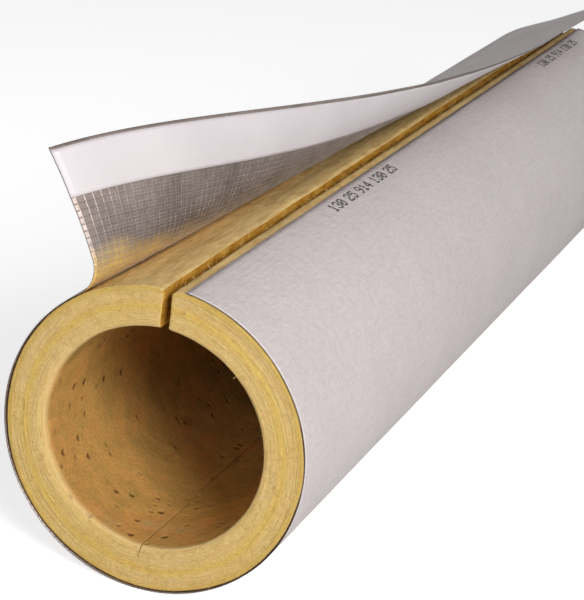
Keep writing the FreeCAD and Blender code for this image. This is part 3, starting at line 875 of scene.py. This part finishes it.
def yarn_tree():
    """Turns every edge of a net into a thin yarn."""
    tree, entry, leave = node_group("scrim_yarns", ("Yarn Radius", "Float"), ("Finish", "Material"))
    lines = add_node(tree, "GeometryNodeMeshToCurve", Mesh=entry.outputs["Geometry"])
    ring = add_node(tree, "GeometryNodeCurvePrimitiveCircle", Resolution=4,
                    Radius=entry.outputs["Yarn Radius"])
    tubes = add_node(tree, "GeometryNodeCurveToMesh", Curve=lines.outputs[0],
                     Profile_Curve=ring.outputs["Curve"], Fill_Caps=True)
    return close_tree(tree, entry, leave, tubes)


def yarn_glass(jacket):
    make = Finish("scrim_yarn", jacket.yarn, 0.45, specular=0.5)
    worn = make.noise(160, 4, 0.7)
    tone = make.ramp(worn, (0.36, shade(jacket.foil, 0.8)), (0.62, jacket.yarn))
    return make.finish(tone, bumps=((worn, 0.2, 0.0002),))


def build_scrim(scrim, jacket, liner):
    """The glass yarns that show on the foil, from the root of the flap to the liner."""
    shape = JacketShape(jacket)
    last = jacket.flap - liner.margin - liner.width + 2 * MM
    columns = int(last / scrim.across)
    steps = np.arange(1, columns + 1) * scrim.across
    alongs = np.arange(1, int(TUBE_LENGTH / scrim.along)) * scrim.along
    net = shape.surface(alongs, np.zeros(0), steps, -scrim.radius * 0.55)
    points = net.reshape(-1, 3)
    jitter = smooth_noise(points, (0.02, 0.02, 0.02), 31) * 0.35 * MM
    points[:, 1] += jitter
    index = np.arange(len(points)).reshape(len(alongs), columns)
    edges = np.concatenate([np.stack([index[:, :-1].ravel(), index[:, 1:].ravel()], -1),
                            np.stack([index[:-1].ravel(), index[1:].ravel()], -1)])
    base = bare_mesh("scrim_net", points, edges)
    yarn = yarn_glass(jacket)
    piece = grow("scrim_yarns", base, yarn_tree(),
                 {"Yarn Radius": scrim.radius, "Finish": yarn}, yarn)
    seat(piece, "jacket")


# --- the print ----------------------------------------------------------------------------------

DIGITS = {
    "0": "01110 10001 10011 10101 11001 10001 01110",
    "1": "00100 01100 00100 00100 00100 00100 01110",
    "2": "01110 10001 00001 00110 01000 10000 11111",
    "3": "01110 10001 00001 00110 00001 10001 01110",
    "4": "00010 00110 01010 10010 11111 00010 00010",
    "5": "11111 10000 11110 00001 00001 10001 01110",
    "9": "01110 10001 10001 01111 00001 00010 01100",
}


def dot_tree():
    """Sets a flat ink dot on every point, turned to the surface under it."""
    tree, entry, leave = node_group("ink_dots", ("Dot Radius", "Float"), ("Finish", "Material"))
    cloud = add_node(tree, "GeometryNodeMeshToPoints", Mesh=entry.outputs["Geometry"])
    dot = add_node(tree, "GeometryNodeMeshCircle", Vertices=8, fill_type="NGON",
                   Radius=entry.outputs["Dot Radius"])
    normal = add_node(tree, "GeometryNodeInputNamedAttribute", data_type="FLOAT_VECTOR",
                      Name="facing")
    turned = add_node(tree, "FunctionNodeAlignRotationToVector", axis="Z",
                      Vector=normal.outputs["Attribute"])
    dots = add_node(tree, "GeometryNodeInstanceOnPoints", Points=cloud.outputs[0],
                    Instance=dot.outputs["Mesh"], Rotation=turned.outputs[0])
    return close_tree(tree, entry, leave, dots)


def ink_finish(printing):
    make = Finish("print_ink", printing.ink, 0.5, specular=0.3)
    faded = make.noise(700, 3)
    tone = make.ramp(faded, (0.35, printing.ink), (0.75, shade(printing.ink, 2.4)))
    return make.finish(tone)


def build_print(printing, jacket):
    """Dot-matrix numbers beside the jacket's glued edge, repeated along it."""
    shape = JacketShape(jacket)
    proud = jacket.thickness + 0.36 * MM
    points, facing = [], []
    starts = np.arange(printing.start, TUBE_LENGTH - 0.05, printing.repeat)
    for start in starts:
        cursor = start
        for letter in printing.digits:
            pattern = DIGITS.get(letter, "").split()
            for row, line in enumerate(pattern):
                for column, dot in enumerate(line):
                    along = cursor + column * printing.dot * printing.stretch
                    if dot == "0" or along > TUBE_LENGTH - 2 * MM:
                        continue
                    down = printing.from_edge + row * printing.dot
                    angle = shape.start - down / shape.skin
                    outward = (math.cos(angle), math.sin(angle))
                    reach = shape.skin + proud
                    points.append((TUBE_CENTRE[0] + reach * outward[0], along,
                                   TUBE_CENTRE[1] + reach * outward[1]))
                    facing.append((outward[0], 0, outward[1]))
            cursor += (6 if pattern else 4) * printing.dot * printing.stretch
    base = bare_mesh("ink_points", points)
    layer = base.data.attributes.new("facing", "FLOAT_VECTOR", "POINT")
    layer.data.foreach_set("vector", np.array(facing).ravel())
    ink = ink_finish(printing)
    piece = grow("printed_numbers", base, dot_tree(),
                 {"Dot Radius": printing.dot * 0.66, "Finish": ink}, ink)
    seat(piece, "jacket")


# --- loose fibres -------------------------------------------------------------------------------

def fibre_tree():
    """Scatters short bent tufts over a surface."""
    tree, entry, leave = node_group("loose_fibres", ("Density", "Float"), ("Radius", "Float"),
                                    ("Length", "Float"), ("Seed", "Int"), ("Finish", "Material"))
    spots = add_node(tree, "GeometryNodeDistributePointsOnFaces",
                     Mesh=entry.outputs["Geometry"], Density=entry.outputs["Density"],
                     Seed=entry.outputs["Seed"])
    reach = add_node(tree, "ShaderNodeCombineXYZ", Z=entry.outputs["Length"])
    half = add_node(tree, "ShaderNodeCombineXYZ", X=0.0006, Z=0.0012)
    tuft = add_node(tree, "GeometryNodeCurveQuadraticBezier", Resolution=3, Start=(0, 0, 0),
                    Middle=half.outputs[0], End=reach.outputs[0])
    ring = add_node(tree, "GeometryNodeCurvePrimitiveCircle", Resolution=3,
                    Radius=entry.outputs["Radius"])
    hair = add_node(tree, "GeometryNodeCurveToMesh", Curve=tuft.outputs[0],
                    Profile_Curve=ring.outputs["Curve"], Fill_Caps=True)
    lean = add_node(tree, "FunctionNodeRandomValue", data_type="FLOAT_VECTOR",
                    Seed=entry.outputs["Seed"])
    lean.inputs[0].default_value = (-1.25, -1.25, -3.1)
    lean.inputs[1].default_value = (1.25, 1.25, 3.1)
    turn = add_node(tree, "FunctionNodeRotateRotation", rotation_space="LOCAL",
                    Rotation=spots.outputs["Rotation"], Rotate_By=lean.outputs[0])
    size = add_node(tree, "FunctionNodeRandomValue", data_type="FLOAT", Seed=5)
    size.inputs[2].default_value = 0.4
    size.inputs[3].default_value = 1.3
    hairs = add_node(tree, "GeometryNodeInstanceOnPoints", Points=spots.outputs["Points"],
                     Instance=hair.outputs[0], Rotation=turn.outputs[0], Scale=size.outputs[1])
    return close_tree(tree, entry, leave, hairs)


def fibre_finish(wool):
    make = Finish("loose_fibre", shade(wool.cut, 1.05), 0.6, specular=0.3)
    tone = make.ramp(make.noise(300, 2), (0.35, shade(wool.band, 0.8)), (0.6, wool.cut))
    return make.finish(tone)


def build_fibres(fibres, wool):
    """Loose tufts on the near sawn end and along the torn lips of the slit."""
    shape = WoolShape(wool)
    around = np.linspace(0.006, 0.994, 160)
    through = np.linspace(0.06, 0.94, 8)
    grid = np.stack(np.meshgrid(through, around, indexing="ij"), -1).reshape(-1, 2)
    ends = [shape.place(grid[:, 1], grid[:, 0], np.full(len(grid), along))
            for along in (0.0, TUBE_LENGTH)]
    lip_along = np.linspace(0.001, TUBE_LENGTH - 0.001, 200)
    lip_grid = np.stack(np.meshgrid(lip_along, [0.80, 0.9, 0.985], indexing="ij"), -1).reshape(-1, 2)
    lips = [shape.place(np.full(len(lip_grid), side), lip_grid[:, 1], lip_grid[:, 0])
            for side in (0.0, 1.0)]
    points = np.concatenate(ends + lips)
    size = len(grid)
    strip = len(lip_grid)
    faces = np.concatenate([
        grid_faces(len(through), len(around), 0),
        grid_faces(len(through), len(around), size, True),
        grid_faces(len(lip_along), 3, 2 * size),
        grid_faces(len(lip_along), 3, 2 * size + strip, True)])
    finish = fibre_finish(wool)
    base = make_mesh("fibre_bed", points, faces, [finish])
    piece = grow("loose_fibres", base, fibre_tree(),
                 {"Density": float(fibres.density), "Radius": fibres.radius,
                  "Length": fibres.reach, "Seed": 11, "Finish": finish}, finish)
    seat(piece, "glass_wool")


# --- the stage ----------------------------------------------------------------------------------

def backdrop_world():
    """White to the camera and in reflections, and a low even fill for everything else."""
    world = bpy.data.worlds.new("studio")
    bpy.context.scene.world = world
    world.use_nodes = True
    nodes, links = world.node_tree.nodes, world.node_tree.links
    fill = nodes["Background"]
    fill.inputs["Color"].default_value = (1, 1, 1, 1)
    fill.inputs["Strength"].default_value = 0.18
    white = nodes.new("ShaderNodeBackground")
    white.inputs["Strength"].default_value = 1.0
    path = nodes.new("ShaderNodeLightPath")
    seen = nodes.new("ShaderNodeMath")
    seen.operation = "MAXIMUM"
    links.new(path.outputs["Is Camera Ray"], seen.inputs[0])
    reflected = nodes.new("ShaderNodeMath")
    reflected.operation = "MAXIMUM"
    links.new(path.outputs["Is Glossy Ray"], reflected.inputs[0])
    links.new(path.outputs["Is Transmission Ray"], reflected.inputs[1])
    links.new(reflected.outputs[0], seen.inputs[1])
    blend = nodes.new("ShaderNodeMixShader")
    links.new(seen.outputs[0], blend.inputs[0])
    links.new(fill.outputs[0], blend.inputs[1])
    links.new(white.outputs[0], blend.inputs[2])
    links.new(blend.outputs[0], nodes["World Output"].inputs["Surface"])


def floor_finish(stage):
    """A pale floor that keeps the shadow: the camera sees it brighter than it lights."""
    make = Finish("floor", stage.floor, 0.9, specular=0.1)
    glow = make.node("Emission", Color=(1, 1, 1, 1), Strength=0.62)
    path = make.node("LightPath")
    add = make.node("AddShader", _0=make.shader.outputs[0], _1=glow.outputs[0])
    blend = make.tree.nodes.new("ShaderNodeMixShader")
    make.tree.links.new(path.outputs["Is Camera Ray"], blend.inputs[0])
    make.tree.links.new(make.shader.outputs[0], blend.inputs[1])
    make.tree.links.new(add.outputs[0], blend.inputs[2])
    make.tree.links.new(blend.outputs[0], make.tree.nodes["Material Output"].inputs["Surface"])
    return make.material


def add_light(name, place, target, size, power):
    light = bpy.data.lights.new(name, "AREA")
    light.shape = "SQUARE"
    light.size = size
    light.energy = power
    lamp = bpy.data.objects.new(name, light)
    lamp.location = place
    lamp.rotation_euler = (Vector(target) - Vector(place)).to_track_quat("-Z", "Y").to_euler()
    bpy.context.scene.collection.objects.link(lamp)


def aim_camera(stage):
    """A long lens in front of the near end, a little above and to the right of it."""
    yaw, pitch, roll = (math.radians(v) for v in (stage.yaw, stage.pitch, stage.roll))
    ahead = Vector((math.sin(yaw) * math.cos(pitch), math.cos(yaw) * math.cos(pitch), math.sin(pitch)))
    right = ahead.cross(Vector((0, 0, 1))).normalized()
    up = right.cross(ahead)
    across = right * math.cos(roll) + up * math.sin(roll)
    upright = up * math.cos(roll) - right * math.sin(roll)
    lens = bpy.data.cameras.new("camera")
    lens.lens = stage.lens
    lens.sensor_width = 36
    lens.clip_start = 0.01
    lens.clip_end = 60
    camera = bpy.data.objects.new("camera", lens)
    turn = Matrix((across, upright, -ahead)).transposed().to_4x4()
    camera.matrix_world = Matrix.Translation(CAMERA_PLACE) @ turn
    bpy.context.scene.collection.objects.link(camera)
    bpy.context.scene.camera = camera


# Each light's name, its place, where it points, its size in metres and its power in watts.
LIT_MIDDLE = (0, 0.25, 0.02)
NEAR_BORE = (0, 0, 0)
LIGHTS = (
    ("key", (1.3, -1.3, 1.15), LIT_MIDDLE, 0.8, 38),
    ("front", (0.1, -2.1, 0.9), NEAR_BORE, 1.0, 8),
    ("side", (1.5, 0.5, 1.3), LIT_MIDDLE, 1.2, 4),
)
CAMERA_PLACE = (0.4079, -1.0278, 0.4764)
FLOOR_DROP = 0.4 * MM
FLOOR_REACH = 14.0


def build_stage(stage):
    low = CAD_BOX[0][2] - FLOOR_DROP
    size = FLOOR_REACH
    corners = [(-size, -size, low), (size, -size, low), (size, size, low), (-size, size, low)]
    floor = make_mesh("floor", corners, [(0, 1, 2, 3)], [floor_finish(stage)])
    backdrop_world()
    for light in LIGHTS:
        add_light(*light)
    aim_camera(stage)
    bpy.context.scene.view_settings.view_transform = "Standard"


# --- operators ----------------------------------------------------------------------------------

class BuildWool(bpy.types.Operator):
    """Build the moulded fibreglass section"""
    bl_idname = "insulation.build_wool"
    bl_label = "Build wool"

    def execute(self, context):
        build_wool(settings("wool"))
        return {"FINISHED"}


class BuildJacket(bpy.types.Operator):
    """Build the laminate jacket and its open lap flap"""
    bl_idname = "insulation.build_jacket"
    bl_label = "Build jacket"

    def execute(self, context):
        build_jacket(settings("jacket"))
        return {"FINISHED"}


class BuildLiner(bpy.types.Operator):
    """Build the release liner on the flap's free edge"""
    bl_idname = "insulation.build_liner"
    bl_label = "Build liner"

    def execute(self, context):
        build_liner(settings("liner"), settings("jacket"))
        return {"FINISHED"}


class BuildScrim(bpy.types.Operator):
    """Build the glass yarns that show on the flap's foil"""
    bl_idname = "insulation.build_scrim"
    bl_label = "Build scrim"

    def execute(self, context):
        build_scrim(settings("scrim"), settings("jacket"), settings("liner"))
        return {"FINISHED"}


class BuildPrint(bpy.types.Operator):
    """Build the plain printed numbers"""
    bl_idname = "insulation.build_print"
    bl_label = "Build print"

    def execute(self, context):
        build_print(settings("print"), settings("jacket"))
        return {"FINISHED"}


class BuildFibres(bpy.types.Operator):
    """Build the loose fibres on the sawn ends and the slit"""
    bl_idname = "insulation.build_fibres"
    bl_label = "Build fibres"

    def execute(self, context):
        build_fibres(settings("fibres"), settings("wool"))
        return {"FINISHED"}


class BuildStage(bpy.types.Operator):
    """Build the floor, the lights and the camera"""
    bl_idname = "insulation.build_stage"
    bl_label = "Build stage"

    def execute(self, context):
        build_stage(settings("stage"))
        return {"FINISHED"}


BUILDERS = (BuildWool, BuildJacket, BuildLiner, BuildScrim, BuildPrint, BuildFibres, BuildStage)
GROUPS = {"wool": WoolSettings, "jacket": JacketSettings, "liner": LinerSettings,
          "scrim": ScrimSettings, "print": PrintSettings, "fibres": FibreSettings,
          "stage": StageSettings}


class InsulationPanel(bpy.types.Panel):
    """Lists the pieces of the insulation section"""
    bl_idname = "VIEW3D_PT_insulation"
    bl_label = "Pipe insulation"
    bl_space_type = "VIEW_3D"
    bl_region_type = "UI"
    bl_category = "Insulation"

    def draw(self, context):
        for (name, group), builder in zip(GROUPS.items(), BUILDERS):
            box = self.layout.box()
            box.operator(builder.bl_idname)
            for key in group.__annotations__:
                box.prop(settings(name), key)


def register():
    for item in (*GROUPS.values(), *BUILDERS, InsulationPanel):
        bpy.utils.register_class(item)
    for name, group in GROUPS.items():
        setattr(bpy.types.Scene, "insulation_" + name, bpy.props.PointerProperty(type=group))


def unregister():
    for name in GROUPS:
        delattr(bpy.types.Scene, "insulation_" + name)
    for item in reversed((*GROUPS.values(), *BUILDERS, InsulationPanel)):
        bpy.utils.unregister_class(item)


def main():
    register()
    for builder in BUILDERS:
        group, action = builder.bl_idname.split(".")
        getattr(getattr(bpy.ops, group), action)()


if __name__ == "__main__":
    main()
